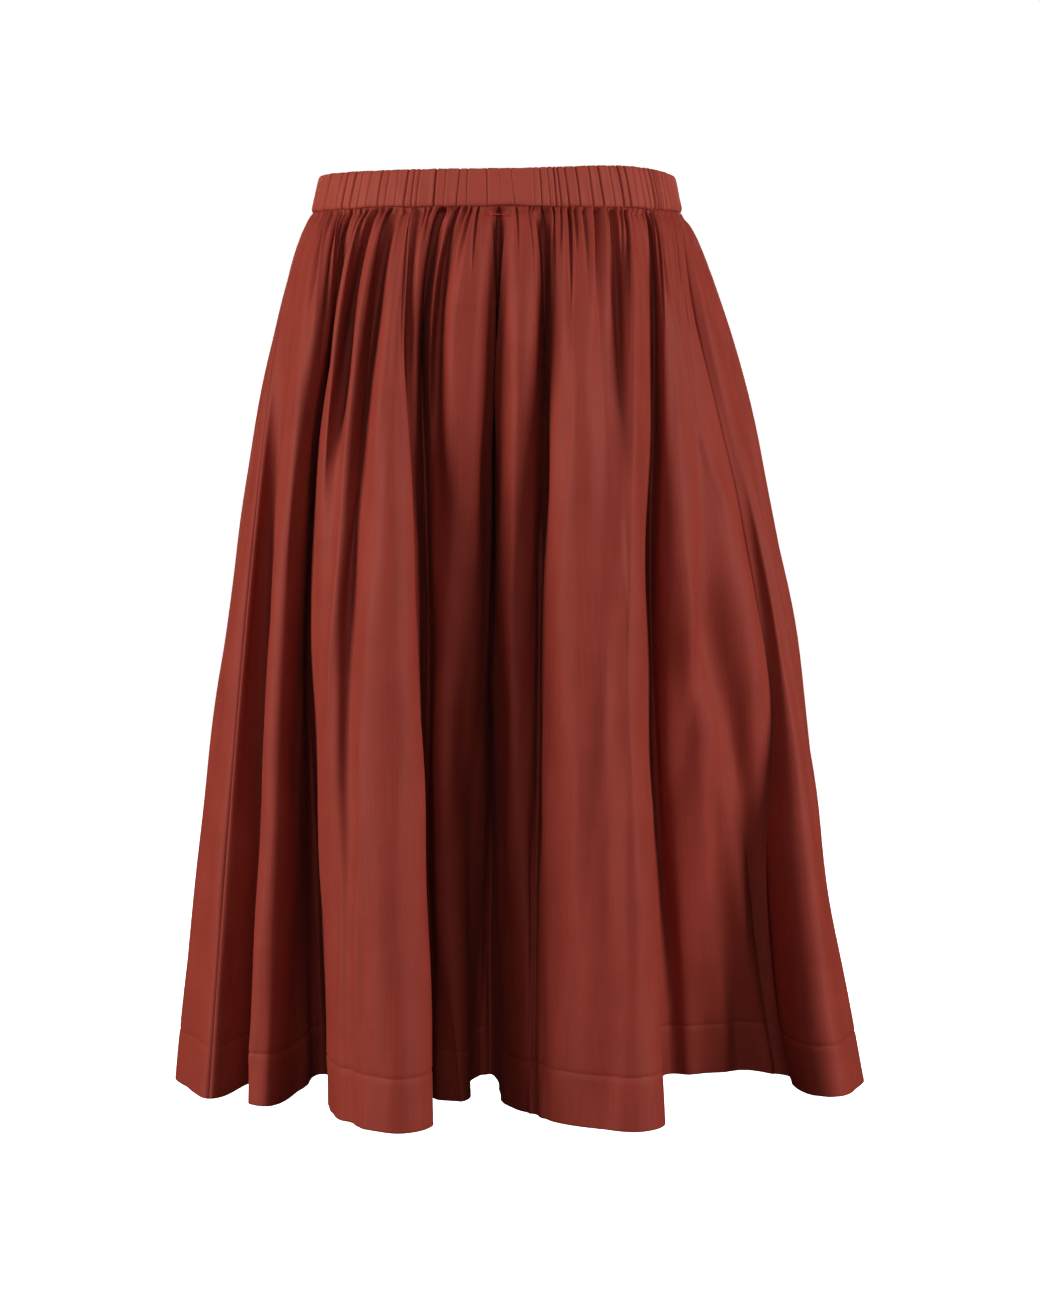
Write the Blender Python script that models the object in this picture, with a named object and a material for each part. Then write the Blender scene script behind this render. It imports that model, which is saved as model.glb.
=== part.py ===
"""A gathered midi skirt on an elastic waistband, hollow, in the shape it has when it is worn.

The origin is the middle of the waist, level with the seam under the waistband. The cloth hangs
towards -Z, and the side with the tack at the middle of the waist faces -Y.
"""
import math
from collections import namedtuple

import bpy
import numpy as np

# Driving dimensions, in metres
WAIST_WIDTH = 0.272
WAIST_DEPTH = 0.204
BAND_HEIGHT = 0.027
SKIRT_DROP = 0.652
HEM_TURN_UP = 0.038
CLOTH = 0.0014
SEAM_GAP = 0.0003

# Gathers under the waistband: how deep they are, at most and for their width, how much of that
# they have at the seam itself, how far down they swell to the whole of it, and how high the cloth
# between two of them stands, as a share of their depth
GATHER_DEPTH = 0.0029
GATHER_STEEPNESS = 0.36
GATHER_AT_SEAM = 0.7
GATHER_SWELL = 0.012
GATHER_CREST = 0.52

# Where the fold tables measure the cloth, below the waist seam, and how straight it hangs there:
# 1 would be straight from place to place, and less leaves the waist seam more steeply
HIGH_HIP = 0.095
LOW_HIP = 0.250
HANG = 0.65

# The hem rises by so much where the cloth is tucked in towards the legs: in full up to the first
# distance from the middle, and not at all from the second, forwards and sideways
HEM_LIFT = 0.009
LIFT_FULL_BEHIND = 0.032
LIFT_BEHIND = 0.080
LIFT_FULL_BESIDE = 0.192
LIFT_BESIDE = 0.240

# The turned-up hem is so many cloths thick, and its edge steps in over so much height
HEM_LAYERS = 1.6
HEM_STEP = 0.001

# A sharp corner is moved outwards as one of this half-angle's cosine at least
CORNER_LIMIT = 0.7

COLUMNS_PER_LINE = 3

# Depths of the rows of the cloth below the waist seam, in millimetres, down to the turn-up
ROW_DEPTHS = (0, 8, 21, 42, 72, 112, 166, 236, 324, 430)

# The crests and valleys of the folds, in order round the waist from the left side seam. Each row
# has the line's name, its angle round the waist in degrees from the middle of the front, its
# place (x, y) in millimetres at the high hip, the low hip and the hem, and how far down the
# gather at its top reaches, in millimetres.
FoldLine = namedtuple("FoldLine", "name angle high_x high_y low_x low_y hem_x hem_y gather")

FRONT_LINES = [FoldLine(*row) for row in (
    ("left_seam", -84, -163, -28, -180, -45, -212, -78, 60),
    ("left_dart", -77, -155, -42, -166, -42, -182, -50, 80),
    ("outer_edge", -71, -145, -74, -159, -90, -180, -95, 70),
    ("outer_crest", -65, -137, -87, -150, -100, -167, -102, 40),
    ("outer_flank", -58, -125, -88, -140, -84, -148, -64, 90),
    ("outer_valley", -49, -119, -74, -137, -50, -130, -34, 120),
    ("left_fold_edge", -45, -114, -100, -127, -116, -119, -122, 50),
    ("left_fold_dip", -39, -106, -92, -117, -128, -114, -142, 120),
    ("left_fold_ridge", -35, -98, -114, -110, -138, -110, -151, 60),
    ("left_fold_crease", -31, -89, -103, -102, -132, -103, -158, 130),
    ("left_fold_crest", -29, -79, -122, -88, -158, -90, -181, 40),
    ("left_fold_face", -28, -73, -126, -72, -163, -68, -192, 40),
    ("left_fold_lip", -26, -67, -124, -58, -150, -46, -169, 40),
    ("lip_crease", -24, -65, -107, -60, -119, -51, -123, 80),
    ("inner_pleat", -20, -57, -113, -54, -103, -54, -92, 50),
    ("inner_valley", -15, -52, -89, -52, -85, -50, -70, 130),
    ("short_pleat", -13, -46, -112, -45, -99, -42, -80, 50),
    ("short_valley", -10, -41, -103, -38, -104, -36, -76, 130),
    ("recess_crest", -7, -31, -128, -29, -108, -29, -70, 40),
    ("recess_flank", -4, -14, -128, -15, -94, -22, -50, 40),
    ("centre_wall", -1, -5, -117, -8, -78, -14, -38, 40),
    ("centre_valley", 1, 1, -90, -2, -58, -5, -32, 30),
    ("slim_edge", 3, 7, -117, 4, -106, 5, -84, 40),
    ("slim_crest", 6, 17, -132, 15, -128, 15, -114, 40),
    ("slim_flank", 10, 29, -126, 25, -124, 23, -126, 50),
    ("slim_valley", 13, 35, -96, 31, -108, 28, -130, 90),
    ("right_fold_edge", 18, 42, -124, 39, -140, 37, -148, 90),
    ("right_fold_slope", 24, 57, -134, 56, -158, 60, -170, 70),
    ("right_fold_crease", 32, 75, -127, 80, -162, 79, -181, 110),
    ("right_fold_face", 39, 90, -120, 93, -163, 99, -188, 130),
    ("right_fold_lip", 46, 99, -123, 101, -150, 117, -169, 40),
    ("lip_shadow", 49, 103, -108, 104, -118, 117, -107, 40),
    ("lip_wall", 51, 107, -96, 108, -94, 119, -60, 40),
    ("side_valley", 53, 112, -82, 112, -76, 127, -32, 140),
    ("side_slope", 57, 119, -96, 124, -82, 147, -26, 50),
    ("side_face", 62, 128, -92, 138, -80, 170, -26, 60),
    ("side_dart", 68, 136, -78, 154, -64, 190, -24, 90),
    ("side_ridge", 74, 142, -72, 173, -58, 208, -22, 50),
    ("right_seam", 80, 147, -59, 184, -39, 221, -14, 60),
)]

BACK_LINES = [FoldLine(*row) for row in (
    ("seam_turn", 83, 156, -57, 190, -42, 230, -38, 60),
    ("seam_crest", 86, 160, -50, 195, -44, 246, -62, 50),
    ("seam_face", 89, 165, -38, 201, -32, 264, -42, 90),
    ("seam_ridge", 92, 169, -22, 202, -16, 277, -4, 40),
    ("back_side_valley", 96, 168, -4, 199, 1, 256, 22, 120),
    ("back_side_crest", 100, 174, 10, 214, 18, 262, 52, 50),
    ("back_side_face", 104, 170, 26, 208, 37, 250, 84, 60),
    ("outer_back_edge", 108, 163, 40, 201, 56, 237, 112, 90),
    ("outer_back_crest", 112, 156, 55, 190, 74, 216, 128, 40),
    ("outer_back_flank", 117, 145, 63, 176, 74, 197, 104, 70),
    ("outer_back_valley", 121, 136, 60, 162, 62, 184, 70, 140),
    ("right_back_edge", 126, 133, 80, 158, 90, 172, 108, 50),
    ("right_back_ridge", 131, 126, 95, 149, 116, 166, 150, 70),
    ("right_back_crest", 136, 114, 106, 134, 132, 148, 176, 40),
    ("right_back_face", 141, 101, 109, 116, 132, 124, 179, 150),
    ("right_back_flank", 145, 90, 104, 102, 112, 104, 140, 60),
    ("right_back_valley", 150, 81, 93, 91, 94, 96, 92, 110),
    ("middle_edge", 154, 73, 112, 83, 118, 87, 108, 50),
    ("middle_ridge", 159, 62, 124, 73, 142, 79, 158, 80),
    ("middle_crest", 164, 48, 130, 58, 155, 62, 188, 40),
    ("middle_face", 169, 35, 130, 39, 154, 35, 192, 120),
    ("middle_flank", 174, 22, 121, 21, 130, 13, 160, 60),
    ("middle_valley", 180, 10, 102, 8, 94, 4, 84, 170),
    ("slim_back_edge", 186, -1, 119, -6, 114, -8, 104, 50),
    ("slim_back_crest", 192, -14, 131, -22, 138, -22, 132, 60),
    ("slim_back_face", 198, -28, 128, -36, 147, -40, 164, 90),
    ("back_crease", 204, -41, 116, -48, 142, -57, 176, 160),
    ("left_back_crest", 209, -53, 125, -62, 156, -78, 188, 40),
    ("left_back_face", 214, -65, 120, -78, 147, -98, 176, 80),
    ("left_back_flank", 220, -77, 109, -90, 120, -108, 134, 60),
    ("left_back_valley", 226, -86, 94, -98, 95, -113, 94, 130),
    ("wide_back_edge", 231, -99, 106, -114, 113, -124, 112, 50),
    ("wide_back_crest", 236, -112, 103, -130, 124, -144, 156, 40),
    ("wide_back_face", 242, -124, 88, -146, 109, -168, 148, 110),
    ("wide_back_flank", 248, -133, 70, -157, 78, -181, 104, 60),
    ("wide_back_valley", 254, -141, 50, -163, 52, -190, 60, 140),
    ("left_side_crest", 260, -159, 34, -184, 40, -219, 62, 50),
    ("left_side_ridge", 266, -167, 6, -195, 2, -244, 2, 60),
    ("left_side_dart", 271, -166, -13, -190, -26, -232, -40, 90),
)]

# The pocket bag, two layers hung inside the right side seam, where the pocket's mouth is
POCKET_TOP = 0.022
POCKET_LENGTH = 0.225
POCKET_WIDTH = 0.092
POCKET_ROUNDING = 0.060
POCKET_LAYERS = 0.0016
POCKET_ROWS = 8
POCKET_COLUMNS = 10

# How far forward the pocket bag lies, at its top and at its foot, to stay behind the folds
POCKET_REACH_TOP = 0.095
POCKET_REACH_FOOT = 0.085

# The waistband: a folded casing over wide elastic, ruched all round, a little fuller at half its
# height than at its edges
RUCHES = 84
RUCHE_DEPTH = 0.0014
BAND_WALL = 0.0036
BAND_FULLNESS = 0.0004
BAND_TAPER = 0.006
BAND_ROUNDING = 0.0016

# How the ruches vary round the waist: (share of their depth, waves round, where the waves start)
RUCHE_SWAY = (
    (0.175, 5, 0.8),
    (0.125, 13, 0.0),
)

# Each cloth's colour (linear) and roughness
CLOTH_LOOK = ((0.250, 0.040, 0.026, 1.0), 0.62)
BAND_LOOK = ((0.310, 0.056, 0.038, 1.0), 0.60)
POCKET_LOOK = ((0.200, 0.034, 0.024, 1.0), 0.70)

# Edges sharper than this are shaded as edges, in degrees
SHARP_EDGE = 60

ALL_LINES = FRONT_LINES + BACK_LINES


def smooth_step(value):
    """Rises from 0 to 1 with level ends as the value goes from 0 to 1."""
    value = np.clip(value, 0.0, 1.0)
    return value * value * (3.0 - 2.0 * value)


def line_places(depth):
    """The fold lines' (x, y) at a depth below the waist seam.

    Cloth leaves a gathered seam steeply and then hangs straighter, so each line is a smooth curve
    through its four places against a power of the depth.
    """
    angles = np.radians([line.angle for line in ALL_LINES])
    waist = np.stack(
        [0.5 * WAIST_WIDTH * np.sin(angles), -0.5 * WAIST_DEPTH * np.cos(angles)], axis=1
    )
    high = np.array([(line.high_x, line.high_y) for line in ALL_LINES]) / 1000
    low = np.array([(line.low_x, line.low_y) for line in ALL_LINES]) / 1000
    hem = np.array([(line.hem_x, line.hem_y) for line in ALL_LINES]) / 1000
    places = (waist, high, low, hem)
    knots = (np.array((0.0, HIGH_HIP, LOW_HIP, SKIRT_DROP)) / SKIRT_DROP) ** HANG
    steps = np.diff(knots)
    slopes = [(places[k + 1] - places[k]) / steps[k] for k in range(3)]
    turns = [slopes[0]]
    for k in (1, 2):
        share = steps[k] / (steps[k - 1] + steps[k])
        turns.append(slopes[k - 1] * share + slopes[k] * (1 - share))
    turns.append(slopes[2])

    here = (depth / SKIRT_DROP) ** HANG
    span = min(int(np.searchsorted(knots, here, side="right")) - 1, 2)
    width = steps[span]
    t = (here - knots[span]) / width
    return (
        places[span] * (2 * t**3 - 3 * t**2 + 1)
        + turns[span] * width * (t**3 - 2 * t**2 + t)
        + places[span + 1] * (3 * t**2 - 2 * t**3)
        + turns[span + 1] * width * (t**3 - t**2)
    )


def round_curve(places, samples):
    """Points on a closed smooth curve through the places, with so many samples to each of them."""
    before = np.roll(places, 1, axis=0)
    after = np.roll(places, -1, axis=0)
    beyond = np.roll(places, -2, axis=0)
    gap_in = np.linalg.norm(places - before, axis=1, keepdims=True) ** 0.5
    gap = np.linalg.norm(after - places, axis=1, keepdims=True) ** 0.5
    gap_out = np.linalg.norm(beyond - after, axis=1, keepdims=True) ** 0.5
    start_turn = (
        (places - before) / gap_in - (after - before) / (gap_in + gap) + (after - places) / gap
    ) * gap
    end_turn = (
        (after - places) / gap - (beyond - places) / (gap + gap_out) + (beyond - after) / gap_out
    ) * gap
    rows = []
    for k in range(samples):
        t = k / samples
        rows.append(
            places * (2 * t**3 - 3 * t**2 + 1)
            + start_turn * (t**3 - 2 * t**2 + t)
            + after * (3 * t**2 - 2 * t**3)
            + end_turn * (t**3 - t**2)
        )
    return np.stack(rows, axis=1).reshape(-1, 2)


def outward(points, distance):
    """The closed curve moved outwards by a distance, its sharp corners kept short."""
    ahead = np.roll(points, -1, axis=0) - points
    ahead /= np.linalg.norm(ahead, axis=1, keepdims=True)
    side = np.stack([ahead[:, 1], -ahead[:, 0]], axis=1)
    middle = side + np.roll(side, 1, axis=0)
    length = np.linalg.norm(middle, axis=1, keepdims=True)
    middle /= length
    return points + middle * distance / np.maximum(length / 2, CORNER_LIMIT)


def gather_heights(depth):
    """How far the gathers push each column out at a depth: in at each line, out between lines."""
    places = line_places(depth)
    spacing = np.linalg.norm(np.roll(places, -1, axis=0) - places, axis=1)
    narrowest = np.minimum(spacing, np.roll(spacing, 1))
    reach = np.array([line.gather for line in ALL_LINES]) / 1000
    swell = GATHER_AT_SEAM + (1 - GATHER_AT_SEAM) * smooth_step(depth / GATHER_SWELL)
    deepest = np.minimum(GATHER_DEPTH, GATHER_STEEPNESS * narrowest)
    valley = deepest * swell * (1 - smooth_step(depth / reach))
    crest = GATHER_CREST * 0.5 * (valley + np.roll(valley, -1))
    return np.stack([-valley, crest, crest], axis=1).reshape(-1)


def cloth_middle(depth, gathered=True):
    """The closed curve down the middle of the cloth's thickness at a depth."""
    curve = round_curve(line_places(depth), COLUMNS_PER_LINE)
    if not gathered:
        return curve
    return outward(curve, gather_heights(depth)[:, None])


def hem_lift(points):
    """How much the hem rises at each point where the cloth is tucked in towards the legs."""
    beside, behind = np.abs(points).T
    tucked = 1 - smooth_step((behind - LIFT_FULL_BEHIND) / (LIFT_BEHIND - LIFT_FULL_BEHIND))
    inwards = 1 - smooth_step((beside - LIFT_FULL_BESIDE) / (LIFT_BESIDE - LIFT_FULL_BESIDE))
    return HEM_LIFT * tucked * inwards


def loft_wall(name, outer, inner, closed, look):
    """An object with an outer and an inner skin, each a grid of rows downwards, joined at edges."""
    rows, columns = outer.shape[:2]
    inner_rows = inner.shape[0]
    inner_start = rows * columns
    outer_foot = (rows - 1) * columns
    inner_foot = inner_start + (inner_rows - 1) * columns
    faces = []
    for column in range(columns if closed else columns - 1):
        a = column
        b = (column + 1) % columns
        for row in range(rows - 1):
            down = row * columns
            faces.append((a + down, a + down + columns, b + down + columns, b + down))
        for row in range(inner_rows - 1):
            down = inner_start + row * columns
            faces.append((a + down, b + down, b + down + columns, a + down + columns))
        faces.append((a, b, b + inner_start, a + inner_start))
        faces.append((a + outer_foot, a + inner_foot, b + inner_foot, b + outer_foot))
    if not closed:
        for row in range(rows - 1):
            a = row * columns
            b = a + columns - 1
            faces.append((a, a + inner_start, a + columns + inner_start, a + columns))
            faces.append((b, b + columns, b + columns + inner_start, b + inner_start))

    mesh = bpy.data.meshes.new(name)
    mesh.from_pydata(np.concatenate([outer.reshape(-1, 3), inner.reshape(-1, 3)]).tolist(), [], faces)
    mesh.shade_smooth()
    mesh.set_sharp_from_angle(angle=math.radians(SHARP_EDGE))
    material = bpy.data.materials.new(name)
    material.use_nodes = True
    shader = material.node_tree.nodes["Principled BSDF"]
    shader.inputs["Base Color"].default_value, shader.inputs["Roughness"].default_value = look
    shader.inputs["Metallic"].default_value = 0.0
    mesh.materials.append(material)
    thing = bpy.data.objects.new(name, mesh)
    bpy.data.collections["gathered_skirt"].objects.link(thing)
    return thing


def raised(points, heights):
    """Plan points (x, y) set at their heights."""
    return np.column_stack([points, np.broadcast_to(heights, len(points))])


def skirt_panel(name, first_line, last_line):
    """One cut width of cloth between two side seams, with its hem turned up on the inside."""
    start = first_line * COLUMNS_PER_LINE
    stop = last_line * COLUMNS_PER_LINE
    columns = np.arange(start, stop + 1) % (len(ALL_LINES) * COLUMNS_PER_LINE)
    turn_top = SKIRT_DROP - HEM_TURN_UP
    depths = [depth / 1000 for depth in ROW_DEPTHS] + [turn_top - HEM_STEP, turn_top, SKIRT_DROP]
    depths[0] = SEAM_GAP
    outer = []
    inner = []
    for depth in depths:
        middle = cloth_middle(depth)
        layers = HEM_LAYERS if depth >= turn_top else 1.0
        outside = outward(middle, 0.5 * CLOTH)
        inside = outward(middle, 0.5 * CLOTH - layers * CLOTH)
        lift = hem_lift(middle) * smooth_step((depth - HIGH_HIP) / (SKIRT_DROP - HIGH_HIP))
        for skin, kept in ((outside, outer), (inside, inner)):
            row = skin[columns]
            for end, neighbour in ((0, 1), (-1, -2)):
                along = middle[columns[neighbour]] - middle[columns[end]]
                row[end] += along / np.linalg.norm(along) * 0.5 * SEAM_GAP
            kept.append(raised(row, lift[columns] - depth))
    return loft_wall(name, np.array(outer), np.array(inner), False, CLOTH_LOOK)


def pocket_bag(name, seam_line):
    """A flat pocket bag that hangs inside a side seam and lies behind the front folds.

    In plan it is the arc of an ellipse from the seam towards the middle of the front.
    """
    seam = seam_line * COLUMNS_PER_LINE
    half = 0.5 * POCKET_LAYERS
    front = []
    back = []
    for row in range(POCKET_ROWS + 1):
        front_row = []
        back_row = []
        for column in range(POCKET_COLUMNS + 1):
            share = 1 - column / POCKET_COLUMNS
            length = POCKET_LENGTH - POCKET_ROUNDING * (2 * share - 1) ** 4
            down = row / POCKET_ROWS
            depth = POCKET_TOP + length * down
            clear = 0.5 * CLOTH + half + SEAM_GAP
            seam_x, seam_y = outward(cloth_middle(depth), -clear)[seam]
            reach = POCKET_REACH_TOP + (POCKET_REACH_FOOT - POCKET_REACH_TOP) * down
            width = seam_x / math.sqrt(1 - (seam_y / reach) ** 2)
            x = seam_x - POCKET_WIDTH * share
            y = -reach * math.sqrt(1 - (x / width) ** 2)
            tilt = np.array((x / width**2, y / reach**2))
            tilt *= half / np.linalg.norm(tilt)
            front_row.append((x + tilt[0], y + tilt[1], -depth))
            back_row.append((x - tilt[0], y - tilt[1], -depth))
        front.append(front_row)
        back.append(back_row)
    return loft_wall(name, np.array(front), np.array(back), False, POCKET_LOOK)


def waistband():
    """A ring of folded cloth over elastic, its outside ruched and its inside plain."""
    angles = np.linspace(-math.pi, math.pi, 2 * RUCHES, endpoint=False)
    sway = sum(share * np.sin(waves * angles + start) for share, waves, start in RUCHE_SWAY)
    ruche = RUCHE_DEPTH * np.tile([0.5, -0.5], RUCHES) * (1 + sway)
    round_waist = np.stack([np.sin(angles), -np.cos(angles)], axis=1)

    def ring(height, outset, relief):
        lean = BAND_TAPER * height / BAND_HEIGHT
        half_sizes = (0.5 * WAIST_WIDTH - lean + outset, 0.5 * WAIST_DEPTH - lean + outset)
        points = outward(round_waist * half_sizes, (ruche * relief)[:, None])
        return raised(points, height)

    half_wall = 0.5 * BAND_WALL
    profile = (
        # (height, how far out from the middle of the wall, share of the ruches' depth)
        (BAND_HEIGHT, half_wall - BAND_ROUNDING, 0.3),
        (BAND_HEIGHT - BAND_ROUNDING, half_wall, 0.8),
        (0.5 * BAND_HEIGHT, half_wall + BAND_FULLNESS, 1.0),
        (BAND_ROUNDING, half_wall, 0.8),
        (0.0, half_wall - 0.5 * BAND_ROUNDING, 0.5),
    )
    outer = [ring(*row) for row in profile]
    inner = [ring(height, -half_wall, 0.0) for height in (BAND_HEIGHT, 0.0)]
    return loft_wall("waistband", np.array(outer), np.array(inner), True, BAND_LOOK)


for old in list(bpy.data.objects):
    bpy.data.objects.remove(old, do_unlink=True)
skirt = bpy.data.collections.new("gathered_skirt")
bpy.context.scene.collection.children.link(skirt)

RIGHT_SEAM = len(FRONT_LINES) - 1
waistband()
skirt_panel("front_panel", 0, RIGHT_SEAM)
skirt_panel("back_panel", RIGHT_SEAM, len(ALL_LINES))
pocket_bag("pocket_bag", RIGHT_SEAM)
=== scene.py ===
import math
from collections import namedtuple

import bpy
import numpy as np
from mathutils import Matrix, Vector


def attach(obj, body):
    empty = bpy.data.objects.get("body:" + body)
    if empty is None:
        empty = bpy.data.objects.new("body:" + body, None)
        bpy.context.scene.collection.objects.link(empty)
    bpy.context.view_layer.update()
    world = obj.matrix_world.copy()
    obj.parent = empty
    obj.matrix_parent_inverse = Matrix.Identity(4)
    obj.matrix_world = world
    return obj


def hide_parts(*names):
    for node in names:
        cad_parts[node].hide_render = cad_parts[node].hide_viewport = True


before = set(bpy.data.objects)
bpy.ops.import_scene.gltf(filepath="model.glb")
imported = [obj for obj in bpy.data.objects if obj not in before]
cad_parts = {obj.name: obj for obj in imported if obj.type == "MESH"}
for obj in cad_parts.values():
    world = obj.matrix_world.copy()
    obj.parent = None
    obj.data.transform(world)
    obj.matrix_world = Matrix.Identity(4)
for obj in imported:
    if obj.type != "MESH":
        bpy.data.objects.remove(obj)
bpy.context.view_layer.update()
bpy.ops.object.select_all(action="DESELECT")

# The camera
#
# It stands at waist height, about two and a half metres in front of the skirt, and looks slightly
# down at it. The picture is 1040 x 1300.
CAMERA_PLACE = (0.01725, -2.5, -0.126)
CAMERA_TILT = 4.58
LENS = 92.3
SENSOR_WIDTH = 36

camera = bpy.data.objects.new("camera", bpy.data.cameras.new("camera"))
bpy.context.scene.collection.objects.link(camera)
camera.location = CAMERA_PLACE
camera.rotation_euler = (math.radians(90 - CAMERA_TILT), 0, 0)
camera.data.lens = LENS
camera.data.sensor_width = SENSOR_WIDTH
bpy.context.scene.camera = camera

# The skirt's cloth
#
# A mid-weight cotton with a slightly lustrous face, piece-dyed brick red. It is woven from uneven
# yarns, so that fine streaks run down it and, more faintly, across it.
CLOTH_RED = "#93392E"
CLOTH_SHADE = "#863126"
CLOTH_BLOOM = "#C98A78"

# Thread spacing is really about 0.35 mm. It is drawn at 1.3 mm, since it would not show otherwise.
THREAD_SPACING = 0.0013
WARP_SLUB = (0.0011, 0.045)
WEFT_SLUB = (0.060, 0.0012)
MOTTLE = 0.035
# How far the yarns stand up from the cloth
YARN_RELIEF = 0.00003
# A wave texture repeats every pi/10 of its coordinate at a scale of 1
WAVE_PERIOD = math.pi / 10


def linear(colour):
    """A colour given as sRGB hex, as linear values with full alpha."""
    values = [int(colour[k : k + 2], 16) / 255 for k in (1, 3, 5)]
    return [v / 12.92 if v <= 0.04045 else ((v + 0.055) / 1.055) ** 2.4 for v in values] + [1.0]


def add_node(material, kind, inputs=None, **settings):
    """Adds a node with its settings. An input that is given a socket is linked to it."""
    node = material.node_tree.nodes.new(kind)
    for name, value in settings.items():
        setattr(node, name, value)
    for name, value in (inputs or {}).items():
        if isinstance(value, bpy.types.NodeSocket):
            material.node_tree.links.new(value, node.inputs[name])
        else:
            node.inputs[name].default_value = value
    return node


def woven_cotton(name, face, shade):
    """Woven, piece-dyed cotton: soft and almost matt, with a faint bloom where it turns away."""
    cotton = bpy.data.materials.new(name)
    cotton.use_nodes = True
    shader = cotton.node_tree.nodes["Principled BSDF"]
    on_cloth = add_node(cotton, "ShaderNodeUVMap", uv_map="cloth").outputs["UV"]

    def streaks(size, detail):
        stretched = add_node(
            cotton,
            "ShaderNodeMapping",
            {"Vector": on_cloth, "Scale": (1 / size[0], 1 / size[1], 1.0)},
        )
        noise = {"Vector": stretched.outputs["Vector"], "Scale": 1.0, "Detail": detail}
        return add_node(cotton, "ShaderNodeTexNoise", noise).outputs["Fac"]

    def threads(direction):
        bands = {
            "Vector": on_cloth,
            "Scale": WAVE_PERIOD / THREAD_SPACING,
            "Distortion": 0.6,
            "Detail": 1.0,
        }
        return add_node(
            cotton, "ShaderNodeTexWave", bands, bands_direction=direction
        ).outputs["Fac"]

    warp = streaks(WARP_SLUB, 2.0)
    weft = streaks(WEFT_SLUB, 2.0)
    mottle = streaks((MOTTLE, MOTTLE), 3.0)
    slubs = add_node(
        cotton, "ShaderNodeMath", {0: weft, 1: 0.35, 2: warp}, operation="MULTIPLY_ADD"
    ).outputs["Value"]
    both = add_node(
        cotton, "ShaderNodeMath", {0: slubs, 1: mottle}, operation="ADD"
    ).outputs["Value"]
    amount = add_node(
        cotton,
        "ShaderNodeMapRange",
        {"Value": both, "From Min": 0.8, "From Max": 1.55, "To Min": 0.0, "To Max": 1.0},
    ).outputs["Result"]
    dye = add_node(
        cotton,
        "ShaderNodeMix",
        {"Factor": amount, 6: linear(shade), 7: linear(face)},
        data_type="RGBA",
    )
    cotton.node_tree.links.new(dye.outputs[2], shader.inputs["Base Color"])

    weave = add_node(
        cotton, "ShaderNodeMath", {0: threads("X"), 1: threads("Y")}, operation="MULTIPLY"
    ).outputs["Value"]
    yarns = add_node(
        cotton, "ShaderNodeMath", {0: slubs, 1: 0.8, 2: weave}, operation="MULTIPLY_ADD"
    ).outputs["Value"]
    bump = add_node(
        cotton,
        "ShaderNodeBump",
        {"Height": yarns, "Strength": 1.0, "Distance": YARN_RELIEF},
    )
    cotton.node_tree.links.new(bump.outputs["Normal"], shader.inputs["Normal"])
    shader.inputs["Roughness"].default_value = 0.62
    shader.inputs["IOR"].default_value = 1.46
    shader.inputs["Specular IOR Level"].default_value = 0.18
    shader.inputs["Sheen Weight"].default_value = 0.07
    shader.inputs["Sheen Roughness"].default_value = 0.45
    shader.inputs["Sheen Tint"].default_value = linear(CLOTH_BLOOM)
    return cotton


skirt_cotton = woven_cotton("brick_red_woven_cotton", CLOTH_RED, CLOTH_SHADE)

# Front panel
#
# One cut width of the cloth, gathered along its top edge, with its hem turned up on the inside.
# It falls in long soft folds, and small gathers pinched by the seam fade out between them.
WAIST_WIDTH = 0.272
WAIST_DEPTH = 0.204
SKIRT_DROP = 0.652
HEM_TURN_UP = 0.038
SEAM_GAP = 0.00002
# The gathered edge goes up inside the waistband by so much, in millimetres
TUCKED_IN = 1.2
HIGH_HIP = 0.095
LOW_HIP = 0.250
# How straight the cloth hangs: 1 would be straight, and less leaves the waist seam more steeply
HANG = 0.65
# How far the right side bows sideways below the low hip, none of it up to the first distance from
# the middle and all of it from the second
BOW = 0.002
BOW_FROM = 0.150
BOW_FULL = 0.200
# The hem rises by so much where the cloth is tucked in towards the legs: in full up to the first
# distance from the middle, and not at all from the second, forwards and sideways
HEM_LIFT = 0.009
LIFT_FULL_BEHIND = 0.032
LIFT_BEHIND = 0.080
LIFT_FULL_BESIDE = 0.192
LIFT_BESIDE = 0.240
CLOTH_WALL = 0.0006
HEM_LAYERS = 1.8

# The values from here to the tables are in millimetres, or shares.
# How far the waist seam holds the cloth in just below it, from how far down, and how far it reaches
SEAM_HOLD = 4.0
SEAM_HOLD_FROM = 5
SEAM_HOLD_REACH = 22
# How far the cloth dips into the seam and how much of the gathers shows there, and over how far
# down each eases
SEAM_DIP = 1.6
SEAM_DIP_REACH = 9
SHOWN_AT_SEAM = 0.45
SHOWN_REACH = 4
# How far in a crease can go at the seam, and how much further for each millimetre down
CAUGHT_AT_SEAM = 1.3
CAUGHT_SLOPE = 2.4
# The groove of the hem's stitches, the puckers beside it and the turned-up cloth's edge
HEM_GROOVE = 0.6
HEM_GROOVE_WIDTH = 1.2
HEM_PUCKER = 0.35
HEM_PUCKER_REACH = 10
HEM_PUCKER_SPACING = 7
HEM_EDGE = 0.1
# The groove of a side seam, and how far from it the folds' own relief fades in
SIDE_GROOVE = 0.35
SIDE_GROOVE_WIDTH = 2.0
SIDE_CALM = 7

# A gather's crease: how crisp its bottom is, its width at the seam as a share, over how far down it
# grows by one width, how deep it is pinched, how much more at the seam, and how soon that eases
PINCH_SHARPNESS = 1.5
GATHER_ROUNDING = 0.2
GATHER_AT_SEAM = 0.8
GATHER_WIDENS = 130
GATHER_PINCH = 2.0
GATHER_PINCH_MORE = 1.4
GATHER_PINCH_REACH = 20
# The lip on one side of the crease and the soft puff round it, against its depth and width
LIP_HEIGHT = 0.22
LIP_ASIDE = 1.6
LIP_WIDTH = 0.9
PUFF_HEIGHT = 0.25
PUFF_WIDTH = 3

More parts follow.
